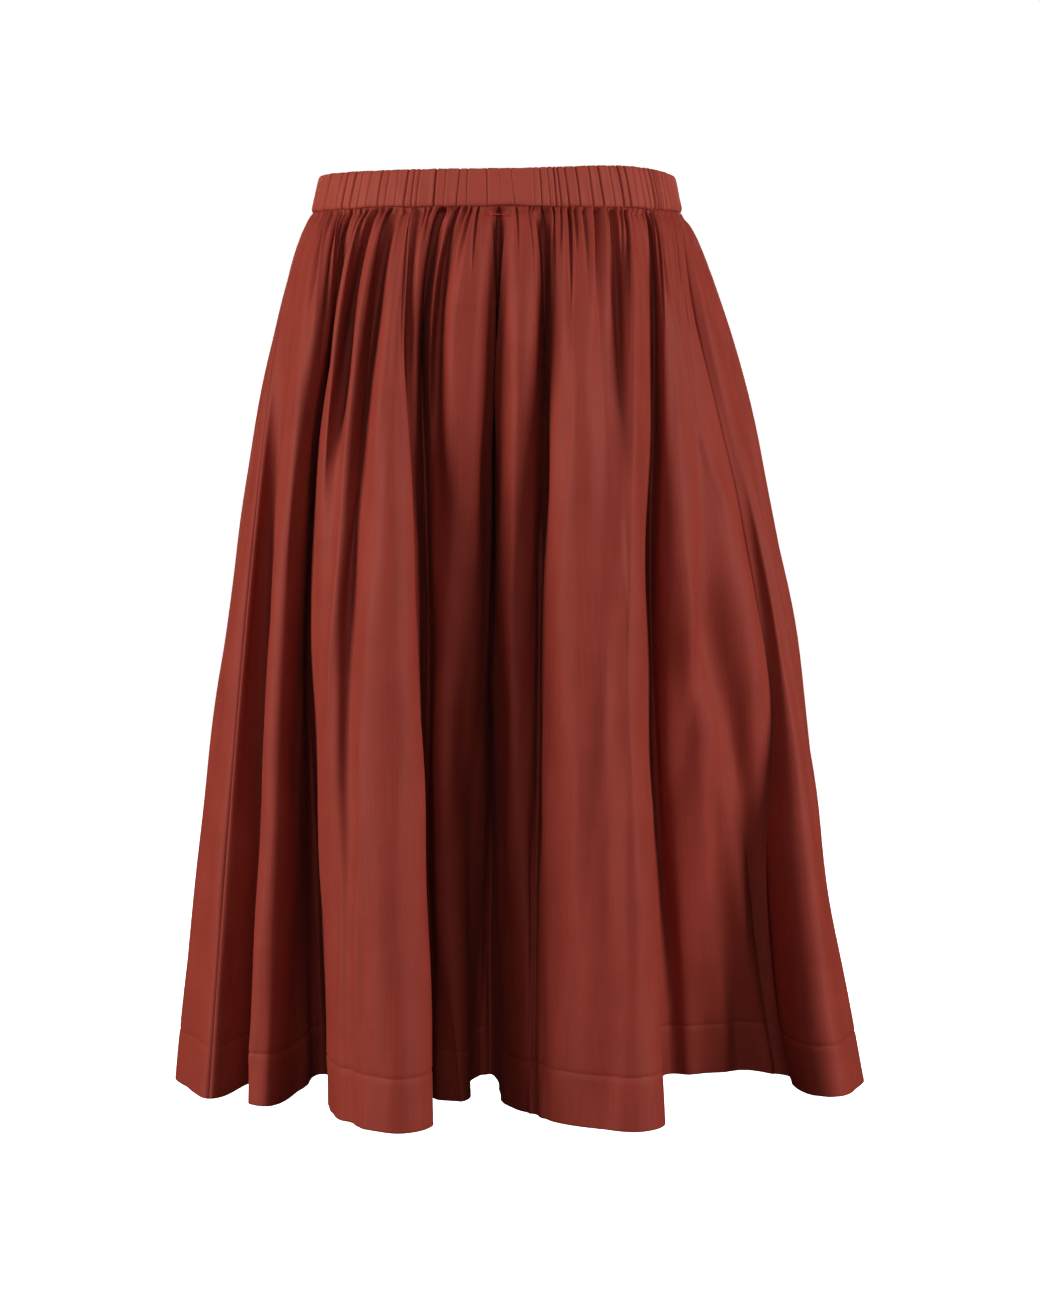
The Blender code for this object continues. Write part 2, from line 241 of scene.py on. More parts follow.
# The mesh: the columns of a panel, the samples of the fold curve to each fold line, how many lines
# the curve runs on past the side seams, so that a crease can cross them, and how much closer the
# columns stand at a gather, over how many of its widths
PANEL_COLUMNS = 560
CURVE_SAMPLES = 60
LINES_PAST_SEAM = 3
CLOSER_AT_GATHER = 1.6
CLOSER_WIDTHS = 1.6
# Its rows: just below the waist seam, and on both sides of the hem's stitches
SEAM_ROWS = (0.3, 0.9, 1.8, 3.0, 4.4, 6.0, 8.0, 10.2, 12.6, 15.2, 18.0)
STITCH_ROWS = (-4.0, -1.6, -0.6, 0.0, 0.6, 1.6)

# The crests and valleys of the folds, in order round the waist from the left side seam: the angle
# round the waist in degrees, and the place (x, y) in millimetres at the high hip, the low hip and
# the hem. The CAD model has the same lines, or ones that run near these, and no bow.
FoldLine = namedtuple("FoldLine", "name angle high_x high_y low_x low_y hem_x hem_y")

FRONT_LINES = [FoldLine(*row) for row in (
    ("left_seam", -84, -163, -28, -180, -45, -212, -78),
    ("left_dart", -77, -155, -42, -166, -42, -182, -50),
    ("outer_edge", -71, -145, -74, -159, -90, -180, -95),
    ("outer_crest", -65, -137, -87, -150, -100, -167, -102),
    ("outer_flank", -58, -125, -88, -140, -84, -148, -64),
    ("outer_valley", -49, -119, -66, -137, -50, -130, -34),
    ("left_fold_edge", -45, -114, -100, -127, -116, -119, -122),
    ("left_fold_dip", -39, -106, -84, -117, -128, -114, -142),
    ("left_fold_ridge", -35, -98, -114, -110, -138, -110, -151),
    ("left_fold_crease", -31, -89, -95, -102, -132, -103, -158),
    ("left_fold_crest", -29, -79, -122, -88, -158, -90, -181),
    ("left_fold_face", -28, -73, -126, -72, -163, -68, -192),
    ("left_fold_lip", -26, -67, -124, -58, -150, -46, -169),
    ("lip_crease", -24, -65, -114, -59, -121, -51, -123),
    ("inner_pleat", -20, -58, -118, -54, -98, -54, -92),
    ("inner_valley", -15, -53, -88, -50, -85, -50, -70),
    ("short_pleat", -13, -46, -112, -46, -100, -42, -80),
    ("short_valley", -10, -41, -103, -40, -114, -36, -76),
    ("recess_crest", -7, -31, -128, -31, -121, -29, -70),
    ("recess_flank", -4, -14, -128, -15, -117, -22, -50),
    ("centre_wall", -1, -5, -116, -7, -98, -14, -38),
    ("centre_valley", 1, 0.5, -90, -3, -60, -5, -32),
    ("slim_edge", 3, 5.5, -117, 3, -110, 5, -84),
    ("slim_crest", 6, 17, -132, 12, -130, 15, -114),
    ("slim_flank", 10, 29, -126, 24, -122, 23, -126),
    ("slim_valley", 13, 35, -96, 32, -96, 28, -130),
    ("right_fold_edge", 18, 42, -124, 39, -138, 37, -148),
    ("right_fold_slope", 24, 57, -134, 56, -158, 60, -170),
    ("right_fold_crease", 32, 74, -128, 77, -156, 79, -181),
    ("right_fold_face", 39, 88, -114, 93, -163, 99, -188),
    ("right_fold_lip", 46, 98, -125, 101, -150, 117, -169),
    ("lip_shadow", 49, 105, -110, 104, -118, 117, -107),
    ("lip_wall", 51, 109, -95, 108, -94, 119, -60),
    ("side_valley", 53, 114, -80, 112, -76, 127, -32),
    ("side_slope", 57, 121, -96, 120, -94, 147, -26),
    ("side_face", 62, 128, -92, 136, -96, 170, -26),
    ("side_dart", 68, 136, -78, 153, -78, 190, -24),
    ("side_ridge", 74, 142, -72, 172, -66, 208, -22),
    ("right_seam", 80, 147, -59, 184, -43, 221, -14),
)]

BACK_LINES = [FoldLine(*row) for row in (
    ("seam_turn", 83, 156, -57, 190, -42, 230, -38),
    ("seam_crest", 86, 160, -50, 195, -44, 246, -62),
    ("seam_face", 89, 165, -38, 201, -32, 264, -42),
    ("seam_ridge", 92, 172, -22, 202, -16, 277, -4),
    ("back_side_valley", 96, 171, -4, 199, 1, 256, 22),
    ("back_side_crest", 100, 177, 10, 214, 18, 262, 52),
    ("back_side_face", 104, 173, 26, 208, 37, 250, 84),
    ("outer_back_edge", 108, 163, 40, 201, 56, 237, 112),
    ("outer_back_crest", 112, 156, 55, 190, 74, 216, 128),
    ("outer_back_flank", 117, 145, 63, 176, 74, 197, 104),
    ("outer_back_valley", 121, 136, 60, 162, 62, 184, 70),
    ("right_back_edge", 126, 133, 80, 158, 90, 172, 108),
    ("right_back_ridge", 131, 126, 95, 149, 116, 166, 150),
    ("right_back_crest", 136, 114, 106, 134, 132, 148, 176),
    ("right_back_face", 141, 101, 109, 116, 132, 124, 179),
    ("right_back_flank", 145, 90, 104, 102, 112, 104, 140),
    ("right_back_valley", 150, 81, 93, 91, 94, 96, 92),
    ("middle_edge", 154, 73, 112, 83, 118, 87, 108),
    ("middle_ridge", 159, 62, 124, 73, 142, 79, 158),
    ("middle_crest", 164, 48, 130, 58, 155, 62, 188),
    ("middle_face", 169, 35, 130, 39, 154, 35, 192),
    ("middle_flank", 174, 22, 121, 21, 130, 13, 160),
    ("middle_valley", 180, 10, 102, 8, 94, 4, 84),
    ("slim_back_edge", 186, -1, 119, -6, 114, -8, 104),
    ("slim_back_crest", 192, -14, 131, -22, 138, -22, 132),
    ("slim_back_face", 198, -28, 128, -36, 147, -40, 164),
    ("back_crease", 204, -41, 116, -48, 142, -57, 176),
    ("left_back_crest", 209, -53, 125, -62, 156, -78, 188),
    ("left_back_face", 214, -65, 120, -78, 147, -98, 176),
    ("left_back_flank", 220, -77, 109, -90, 120, -108, 134),
    ("left_back_valley", 226, -86, 94, -98, 95, -113, 94),
    ("wide_back_edge", 231, -99, 106, -114, 113, -124, 112),
    ("wide_back_crest", 236, -112, 103, -130, 124, -144, 156),
    ("wide_back_face", 242, -124, 88, -146, 109, -168, 148),
    ("wide_back_flank", 248, -133, 70, -157, 78, -181, 104),
    ("wide_back_valley", 254, -141, 50, -163, 52, -190, 60),
    ("left_side_crest", 260, -159, 34, -184, 40, -219, 62),
    ("left_side_ridge", 266, -167, 6, -195, 2, -244, 2),
    ("left_side_dart", 271, -166, -13, -190, -26, -232, -40),
)]
ALL_LINES = FRONT_LINES + BACK_LINES
RIGHT_SEAM = len(FRONT_LINES) - 1

# The small gathers: the angle round the waist, how deep the crease between two of them is, how wide
# it is (both in millimetres, the width on the flat cloth), and how far down it reaches
Gather = namedtuple("Gather", "angle depth width reach")

FRONT_GATHERS = [Gather(*row) for row in (
    (-82.0, 1.8, 2.4, 60),
    (-78.0, 1.4, 2.0, 35),
    (-74.5, 2.4, 2.6, 110),
    (-70.8, 1.4, 1.8, 28),
    (-68.0, 2.4, 2.2, 40),
    (-65.2, 3.8, 2.8, 130),
    (-61.5, 1.3, 1.8, 25),
    (-57.8, 3.2, 3.2, 150),
    (-54.0, 2.0, 2.0, 40),
    (-51.0, 2.8, 2.8, 110),
    (-46.2, 3.2, 3.0, 140),
    (-42.6, 2.0, 2.0, 50),
    (-38.6, 2.8, 3.0, 190),
    (-36.3, 2.6, 2.4, 45),
    (-33.0, 1.8, 2.0, 50),
    (-29.5, 3.0, 3.0, 95),
    (-25.9, 3.6, 2.4, 170),
    (-21.5, 1.2, 2.2, 26),
    (-19.4, 1.6, 2.6, 60),
    (-15.6, 2.8, 2.8, 110),
    (-13.1, 1.6, 2.0, 38),
    (-10.6, 2.0, 2.2, 90),
    (-8.6, 2.6, 2.2, 80),
    (-7.0, 2.8, 2.2, 85),
    (-4.9, 2.0, 2.4, 70),
    (1.0, 1.4, 2.2, 75),
    (6.0, 1.4, 2.2, 60),
    (10.2, 3.0, 2.4, 80),
    (11.6, 2.8, 2.4, 200),
    (13.9, 1.6, 2.0, 24),
    (17.5, 3.0, 3.0, 95),
    (20.2, 1.8, 1.8, 40),
    (22.8, 3.4, 2.6, 100),
    (24.8, 2.0, 1.8, 50),
    (28.0, 1.6, 2.0, 70),
    (32.0, 3.0, 2.8, 120),
    (32.8, 1.4, 4.2, 330),
    (36.6, 3.2, 2.6, 110),
    (38.4, 2.6, 2.8, 150),
    (41.6, 2.2, 2.0, 60),
    (43.6, 3.4, 2.6, 120),
    (47.4, 2.2, 2.0, 60),
    (49.8, 2.4, 2.0, 110),
    (52.9, 3.8, 3.0, 130),
    (56.8, 2.8, 2.4, 110),
    (59.6, 3.0, 2.4, 90),
    (63.0, 2.6, 2.0, 80),
    (67.0, 3.0, 2.6, 150),
    (70.4, 2.4, 2.0, 70),
    (73.8, 3.0, 3.0, 140),
    (77.0, 1.8, 2.2, 56),
)]

# Soft troughs (-) and ridges (+) lower down: from one angle and depth to another, their height and
# half-width, in millimetres
Crease = namedtuple("Crease", "angle top end_angle foot height width")

FRONT_CREASES = [Crease(*row) for row in (
    (-78.5, 90, -78.5, 500, -5.5, 9),
    (-68, 180, -69, 560, 1.6, 8),
    (-55, 90, -57, 300, -1.2, 7),
    (-42, 110, -41, 330, -1.6, 8),
    (-33, 60, -33.5, 210, 1.2, 8),
    (-28.5, 380, -28.2, 560, 1.5, 12),
    (-29.4, 500, -29.0, 560, -1.0, 6),
    (-8, 280, -6, 470, -1.6, 12),
    (-0.5, 8, -0.6, 200, 3.4, 5),
    (2.8, 8, 2.6, 200, 3.4, 5),
    (36, 150, 40, 420, -3.6, 9),
    (26, 60, 30, 300, 2.0, 14),
    (56.5, 330, 56.5, 980, 8.0, 11),
    (65, 300, 67, 900, -7.0, 14),
    (68, 280, 54, 470, -4.0, 8),
    (70, 320, 57, 530, 3.0, 9),
    (59, 25, 78, 260, 2.2, 4),
    (-30, 150, -41, 400, 3.0, 5),
    (-29.4, 350, -30, 620, 3.0, 6),
    (-9, 300, -9, 1200, 17.0, 14),
    (-52, 300, -52, 900, -2.5, 10),
    (-62, 380, -62, 900, 2.0, 9),
    (5, 200, 7, 330, -1.5, 14),
    (22, 260, 26, 430, 1.2, 16),
    (36, 240, 41, 380, -1.4, 10),
    (60, 120, 64, 260, -1.8, 9),
    (64, 150, 62, 330, 1.6, 9),
    (66, 270, 70, 430, -1.6, 10),
    (70, 330, 68, 520, 1.4, 9),
    (58, 250, 60, 540, -1.6, 12),
)]

# Those that run over the right side seam, so that both panels have them
SEAM_CREASES = [Crease(*row) for row in (
    (73.5, 190, 91.5, 900, 11.0, 16),
    (66, 240, 86, 940, -11.0, 12),
    (78, 60, 79, 240, 3.0, 9),
)]

# Gentle waves all over, as no cloth hangs quite even: height and lengths across and down, in
# millimetres, and where each starts
Wave = namedtuple("Wave", "height across down start")

SWAYS = [Wave(*row) for row in (
    (0.65, 61, 520, 0.4),
    (0.50, 37, -330, 2.1),
    (0.60, 90, 190, 4.4),
    (0.24, 23, 260, 1.3),
    (0.32, 47, -130, 5.2),
    (0.15, 17, 150, 3.3),
)]
# They swell to the whole of their height over so many millimetres below the waist
SWAY_FROM = 120


def smooth_step(value):
    """Rises from 0 to 1 with level ends as the value goes from 0 to 1."""
    value = np.clip(value, 0.0, 1.0)
    return value * value * (3.0 - 2.0 * value)


def line_places(depth):
    """The fold lines' (x, y) at a depth: steep below the seam, and then hanging straighter."""
    angles = np.radians([line.angle for line in ALL_LINES])
    waist = np.stack(
        [0.5 * WAIST_WIDTH * np.sin(angles), -0.5 * WAIST_DEPTH * np.cos(angles)], axis=1
    )
    high = np.array([(line.high_x, line.high_y) for line in ALL_LINES]) / 1000
    low = np.array([(line.low_x, line.low_y) for line in ALL_LINES]) / 1000
    hem = np.array([(line.hem_x, line.hem_y) for line in ALL_LINES]) / 1000
    places = (waist, high, low, hem)
    knots = (np.array((0.0, HIGH_HIP, LOW_HIP, SKIRT_DROP)) / SKIRT_DROP) ** HANG
    steps = np.diff(knots)
    slopes = [(places[k + 1] - places[k]) / steps[k] for k in range(3)]
    turns = [slopes[0]]
    for k in (1, 2):
        share = steps[k] / (steps[k - 1] + steps[k])
        turns.append(slopes[k - 1] * share + slopes[k] * (1 - share))
    turns.append(slopes[2])

    here = (max(depth, 0.0) / SKIRT_DROP) ** HANG
    span = min(int(np.searchsorted(knots, here, side="right")) - 1, 2)
    width = steps[span]
    t = (here - knots[span]) / width
    there = (
        places[span] * (2 * t**3 - 3 * t**2 + 1)
        + turns[span] * width * (t**3 - 2 * t**2 + t)
        + places[span + 1] * (3 * t**2 - 2 * t**3)
        + turns[span + 1] * width * (t**3 - t**2)
    )
    # The right side bows out above the knee and in below it, before the hem flares
    lower = np.clip((depth - LOW_HIP) / (SKIRT_DROP - LOW_HIP), 0, 1)
    beside = smooth_step((there[:, 0] - BOW_FROM) / (BOW_FULL - BOW_FROM))
    there[:, 0] += BOW * beside * math.sin(2 * math.pi * lower)
    return there


def on_curve(places, spots):
    """Points on the closed smooth curve through the places: spot 3.5 is half-way from 3 to 4."""
    line = np.floor(spots).astype(int)
    t = (spots - line)[:, None]
    before, here, after, beyond = (places[(line + k) % len(places)] for k in (-1, 0, 1, 2))
    gap_in = np.linalg.norm(here - before, axis=1, keepdims=True) ** 0.5
    gap = np.linalg.norm(after - here, axis=1, keepdims=True) ** 0.5
    gap_out = np.linalg.norm(beyond - after, axis=1, keepdims=True) ** 0.5
    start_turn = (
        (here - before) / gap_in - (after - before) / (gap_in + gap) + (after - here) / gap
    ) * gap
    end_turn = (
        (after - here) / gap - (beyond - here) / (gap + gap_out) + (beyond - after) / gap_out
    ) * gap
    return (
        here * (2 * t**3 - 3 * t**2 + 1)
        + start_turn * (t**3 - 2 * t**2 + t)
        + after * (3 * t**2 - 2 * t**3)
        + end_turn * (t**3 - t**2)
    )


def run_along(points):
    """How far along its line each point lies."""
    return np.concatenate([[0.0], np.cumsum(np.linalg.norm(np.diff(points, axis=0), axis=1))])


def sideways(points):
    """The outward direction at each point of an open line, in plan."""
    along = np.gradient(points, axis=0)
    along /= np.linalg.norm(along, axis=1, keepdims=True)
    return np.stack([along[:, 1], -along[:, 0]], axis=1)


def curve_sideways(places, spots):
    """The outward direction at spots on the closed curve, in plan."""
    along = on_curve(places, spots + 0.02) - on_curve(places, spots - 0.02)
    along /= np.linalg.norm(along, axis=1, keepdims=True)
    return np.stack([along[:, 1], -along[:, 0]], axis=1)


def hem_lift(points):
    """How much the hem rises at each point where the cloth is tucked in towards the legs."""
    beside, behind = np.abs(points).T
    tucked = 1 - smooth_step((behind - LIFT_FULL_BEHIND) / (LIFT_BEHIND - LIFT_FULL_BEHIND))
    inwards = 1 - smooth_step((beside - LIFT_FULL_BESIDE) / (LIFT_BESIDE - LIFT_FULL_BESIDE))
    return HEM_LIFT * tucked * inwards


def pinched(away, rounding):
    """The shape of a pinched crease: sharp sides that meet in a bottom with some rounding."""
    return np.exp(-PINCH_SHARPNESS * (np.sqrt(away**2 + rounding**2) - rounding))


def gather_relief(across, places, gathers, depth_mm):
    """How far the gathers push the cloth in at their creases and out between them.

    Each crease has a lip, a crisp edge on its side nearer to the middle of the front.
    """
    relief = np.zeros(len(across))
    for place, gather in zip(places, gathers):
        fade = 1 - smooth_step(depth_mm / gather.reach)
        if fade <= 0:
            continue
        width = gather.width * (GATHER_AT_SEAM + depth_mm / GATHER_WIDENS)
        away = (across - place) / width
        crease = pinched(away, GATHER_ROUNDING)
        lip = np.exp(-(((away + math.copysign(LIP_ASIDE, gather.angle)) / LIP_WIDTH) ** 2))
        puff = np.exp(-((away / PUFF_WIDTH) ** 2))
        pinch = GATHER_PINCH + GATHER_PINCH_MORE * math.exp(-depth_mm / GATHER_PINCH_REACH)
        shape = PUFF_HEIGHT * puff + LIP_HEIGHT * lip - crease
        relief += pinch * gather.depth * fade * shape
    return relief


def crease_relief(across, angle_to_across, creases, depth_mm):
    """How far the soft troughs and ridges push the cloth in or out."""
    relief = np.zeros(len(across))
    for crease in creases:
        along = (depth_mm - crease.top) / (crease.foot - crease.top)
        if not 0 < along < 1:
            continue
        angle = crease.angle + (crease.end_angle - crease.angle) * along
        swell = math.sin(math.pi * along) ** 0.8
        away = (across - angle_to_across(angle)) / crease.width
        relief += crease.height * swell * np.exp(-(away**2))
    return relief


def sway_relief(across, depth_mm):
    """How far the gentle waves push the cloth in or out."""
    return sum(
        wave.height
        * np.sin(2 * math.pi * (across / wave.across + depth_mm / wave.down) + wave.start)
        for wave in SWAYS
    )


def panel_row_depths():
    """The depths of a panel's rows in millimetres, close together where the cloth turns."""
    turn_top = 1000 * (SKIRT_DROP - HEM_TURN_UP)
    return np.concatenate([
        (-TUCKED_IN,) + SEAM_ROWS,
        np.linspace(21.0, 120.0, 24),
        np.linspace(129.0, turn_top - 8, 36),
        turn_top + np.array(STITCH_ROWS),
        np.linspace(turn_top + 5, 1000 * SKIRT_DROP - 1.2, 7),
        [1000 * SKIRT_DROP],
    ])


def skirt_panel(name, first, last, gathers, creases, seed):
    """A panel of cloth between two side seams, as a thin shell with its hem turned up inside."""
    before = max(first - LINES_PAST_SEAM, 0)
    beyond = min(last + LINES_PAST_SEAM, len(ALL_LINES))
    fine = np.arange(CURVE_SAMPLES * before, CURVE_SAMPLES * beyond + 1) / CURVE_SAMPLES
    cloth_run = 1000 * run_along(on_curve(line_places(LOW_HIP), fine))
    cloth_run -= np.interp(first, fine, cloth_run)
    line_angles = np.array([line.angle for line in ALL_LINES] + [ALL_LINES[0].angle + 360])
    line_numbers = np.arange(len(line_angles))

    def angle_to_across(angle):
        return np.interp(np.interp(angle, line_angles, line_numbers), fine, cloth_run)

    places = [angle_to_across(gather.angle) for gather in gathers]
    # The columns of the mesh stand closest where a gather's crease needs them
    closeness = np.ones(len(fine))
    for place, gather in zip(places, gathers):
        away = (cloth_run - place) / (CLOSER_WIDTHS * gather.width)
        closeness += CLOSER_AT_GATHER * np.exp(-(away**2))
    steps = 0.5 * (closeness[1:] + closeness[:-1]) * np.diff(cloth_run)
    crowd = np.concatenate([[0.0], np.cumsum(steps)])
    crowd_from, crowd_to = np.interp((first, last), fine, crowd)
    spots = np.interp(np.linspace(crowd_from, crowd_to, PANEL_COLUMNS + 1), crowd, fine)
    across = np.interp(spots, fine, cloth_run)
    rng = np.random.default_rng(seed)
    pucker_places = np.arange(0, across[-1] + HEM_PUCKER_SPACING, HEM_PUCKER_SPACING)
    pucker_sizes = rng.normal(size=int(across[-1] / HEM_PUCKER_SPACING) + 2)
    puckers = np.interp(across, pucker_places, pucker_sizes)
    from_side_seam = np.minimum(across, across[-1] - across)

    turn_top = 1000 * (SKIRT_DROP - HEM_TURN_UP)
    depths = panel_row_depths()
    outer = []
    inner = []
    for depth_mm in depths:
        lines = line_places(depth_mm / 1000)
        points = on_curve(lines, spots)
        out = curve_sideways(lines, spots)
        relief = gather_relief(across, places, gathers, depth_mm)
        relief += crease_relief(across, angle_to_across, creases, depth_mm)
        relief += sway_relief(across, depth_mm) * smooth_step(depth_mm / SWAY_FROM)
        # The cloth rounds out of the seam, where the stitches hold the gathers flat
        relief *= SHOWN_AT_SEAM + (1 - SHOWN_AT_SEAM) * smooth_step(depth_mm / SHOWN_REACH)
        relief -= SEAM_DIP * (1 - smooth_step(depth_mm / SEAM_DIP_REACH))
        hold = math.exp(-max(depth_mm, 0) / SEAM_HOLD_REACH)
        relief -= SEAM_HOLD * smooth_step(depth_mm / SEAM_HOLD_FROM) * hold
        # The top edge stays caught in the seam, even at the bottom of a crease
        relief = np.maximum(relief, -CAUGHT_AT_SEAM - CAUGHT_SLOPE * max(depth_mm, 0))
        from_stitch = abs(depth_mm - turn_top)
        relief -= HEM_GROOVE * math.exp(-((from_stitch / HEM_GROOVE_WIDTH) ** 2))
        relief += HEM_PUCKER * puckers * math.exp(-((from_stitch / HEM_PUCKER_REACH) ** 2))
        relief += HEM_EDGE * float(depth_mm > turn_top)
        # At the side seams the two panels dip together into a fine groove
        relief *= smooth_step(from_side_seam / SIDE_CALM)
        relief -= SIDE_GROOVE * np.exp(-((from_side_seam / SIDE_GROOVE_WIDTH) ** 2))
        relief += crease_relief(across, angle_to_across, SEAM_CREASES, depth_mm)
        face = points + out * (0.5 * CLOTH_WALL + relief / 1000)[:, None]
        wall = CLOTH_WALL * (HEM_LAYERS if depth_mm > turn_top else 1.0)
        down_share = (depth_mm / 1000 - HIGH_HIP) / (SKIRT_DROP - HIGH_HIP)
        lift = hem_lift(points) * smooth_step(down_share)
        for kept, skin in ((outer, face), (inner, face - wall * sideways(face))):
            for end, neighbour in ((0, 1), (-1, -2)):
                inwards = points[neighbour] - points[end]
                skin[end] += inwards / np.linalg.norm(inwards) * 0.5 * SEAM_GAP
            kept.append(np.column_stack([skin, lift - depth_mm / 1000]))
    outer = np.array(outer)
    down = np.zeros(outer.shape[:2])
    down[1:] = np.cumsum(np.linalg.norm(np.diff(outer, axis=0), axis=2), axis=0)
    chart = np.stack([np.broadcast_to(across / 1000, down.shape), -down], axis=2)
    panel = cloth_shell(name, outer, np.array(inner), chart)
    panel.data.materials.append(skirt_cotton)
    return panel, outer, depths


def cloth_object(name, points, faces, chart):
    """An object of cloth from its points and faces, with where each point lies on the cloth."""
    mesh = bpy.data.meshes.new(name)
    mesh.from_pydata(points.tolist(), [], faces)
    mesh.shade_smooth()
    layer = mesh.uv_layers.new(name="cloth")
    corners = np.empty(len(mesh.loops), dtype=np.int32)
    mesh.loops.foreach_get("vertex_index", corners)
    layer.data.foreach_set("uv", chart[corners].reshape(-1).astype(np.float32))
    thing = bpy.data.objects.new(name, mesh)
    bpy.context.scene.collection.objects.link(thing)
    return thing


def cloth_shell(name, outer, inner, chart):
    """An object with an outer and an inner skin, each a grid of rows downwards, joined at edges."""
    rows, columns = outer.shape[:2]
    back = rows * columns
    foot = (rows - 1) * columns
    faces = []
    for a in range(columns - 1):
        b = a + 1
        for down in range(0, foot, columns):
            faces.append((a + down, a + down + columns, b + down + columns, b + down))
            far = down + back
            faces.append((a + far, b + far, b + far + columns, a + far + columns))
        faces.append((a, b, b + back, a + back))
        faces.append((a + foot, a + foot + back, b + foot + back, b + foot))
    for a in range(0, foot, columns):
        b = a + columns - 1
        faces.append((a, a + back, a + columns + back, a + columns))
        faces.append((b, b + columns, b + columns + back, b + back))
    points = np.concatenate([outer.reshape(-1, 3), inner.reshape(-1, 3)])
    return cloth_object(name, points, faces, np.concatenate([chart.reshape(-1, 2)] * 2))


front, front_face, row_depths = skirt_panel(
    "front_cloth", 0, RIGHT_SEAM, FRONT_GATHERS, FRONT_CREASES, seed=3
)
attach(front, "root")
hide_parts("front_panel")

# Back panel
#
# The hidden side's cut width, a little wider than the front and gathered in the same way. It has
# its own gathers and soft creases, as uneven as the front's.
BACK_GATHERS = [Gather(*row) for row in (
    (84.5, 2.2, 2.4, 60),
    (88.0, 2.8, 2.6, 120),
    (91.0, 1.4, 2.0, 30),
    (94.5, 3.2, 2.8, 85),
    (98.0, 1.8, 2.2, 40),
    (101.0, 2.8, 2.6, 70),
    (105.5, 3.4, 3.0, 110),
    (108.5, 1.4, 2.0, 26),
    (112.0, 2.6, 2.6, 60),
    (116.5, 3.4, 2.8, 90),
    (119.5, 1.2, 2.0, 22),
    (123.5, 3.0, 3.0, 130),
    (127.0, 2.2, 2.4, 44),
    (131.5, 2.8, 2.6, 76),
    (134.0, 1.2, 2.0, 24),
    (138.5, 3.4, 2.8, 64),
    (143.0, 2.4, 2.6, 150),
    (147.0, 3.2, 2.8, 70),
    (149.5, 1.4, 2.0, 28),
    (153.0, 2.8, 2.8, 90),
    (158.5, 1.6, 2.4, 36),
    (162.5, 3.2, 2.8, 84),
    (166.0, 1.8, 2.2, 40),
    (171.5, 2.6, 2.8, 180),
    (174.5, 1.2, 2.0, 24),
    (178.0, 3.0, 2.8, 96),
    (182.5, 2.2, 2.4, 50),
    (186.5, 3.4, 3.0, 76),
    (190.0, 1.4, 2.2, 30),
    (195.5, 1.8, 2.4, 44),
    (199.5, 3.0, 2.8, 100),
    (203.5, 2.4, 2.6, 60),
    (206.5, 1.2, 2.0, 24),
    (211.0, 3.2, 2.8, 88),
    (215.5, 1.6, 2.2, 34),
    (219.0, 2.8, 2.8, 140),
    (224.0, 3.4, 3.0, 72),
    (227.5, 1.4, 2.0, 26),
    (231.5, 2.6, 2.6, 66),
    (236.5, 3.0, 2.8, 94),
    (240.0, 1.6, 2.2, 36),
    (244.0, 2.8, 2.8, 58),
    (248.5, 3.2, 2.8, 110),
    (252.0, 1.2, 2.0, 22),
    (256.0, 2.8, 2.6, 78),
    (260.5, 2.4, 2.6, 54),
    (264.5, 3.2, 2.8, 90),
    (268.5, 1.8, 2.2, 40),
    (272.5, 2.6, 2.6, 64),
)]

BACK_CREASES = [Crease(*row) for row in (
    (87.2, 110, 91, 640, 2.6, 4),
    (90, 150, 93, 400, -1.6, 10),
    (98, 260, 96, 540, 1.5, 11),
    (110, 120, 112, 300, -1.4, 9),
    (122, 240, 119, 480, 1.6, 12),
    (133, 130, 136, 360, -1.6, 10),
    (140, 350, 139, 560, 1.4, 12),
    (152, 110, 150, 290, 1.4, 9),
    (165, 220, 168, 470, -1.6, 13),
    (176, 130, 174, 310, -1.4, 10),
    (190, 300, 192, 560, 1.6, 13),
    (201, 120, 200, 350, -1.5, 10),
    (213, 260, 216, 500, -1.5, 12),
    (225, 140, 222, 330, 1.5, 10),
    (238, 220, 240, 520, -1.6, 12),
    (247, 110, 249, 280, 1.3, 9),
    (262, 200, 259, 460, -1.5, 11),
)]

back, back_face, _ = skirt_panel(
    "back_cloth", RIGHT_SEAM, len(ALL_LINES), BACK_GATHERS, BACK_CREASES, seed=11
)
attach(back, "root")
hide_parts("back_panel")

# Pocket bag
#
# Two layers of the same cloth hung inside the right side seam. It lies flat behind the folds and is
# only seen from inside or through the pocket's mouth.
POCKET_TOP = 0.022
POCKET_LENGTH = 0.225
POCKET_WIDTH = 0.092
POCKET_ROUNDING = 0.060
POCKET_LAYERS = 0.0016
POCKET_CLEAR = 0.0018
POCKET_REACH_TOP = 0.095
POCKET_REACH_FOOT = 0.085
# How loosely the layers lie, in waves across and down the bag
POCKET_SLACK = 0.0006
POCKET_WAVES = (9, 5)
POCKET_ROWS = 33
POCKET_COLUMNS = 25
# How far on each side of the seam the cloth's direction is read, in fold lines
BESIDE_SEAM = 0.02

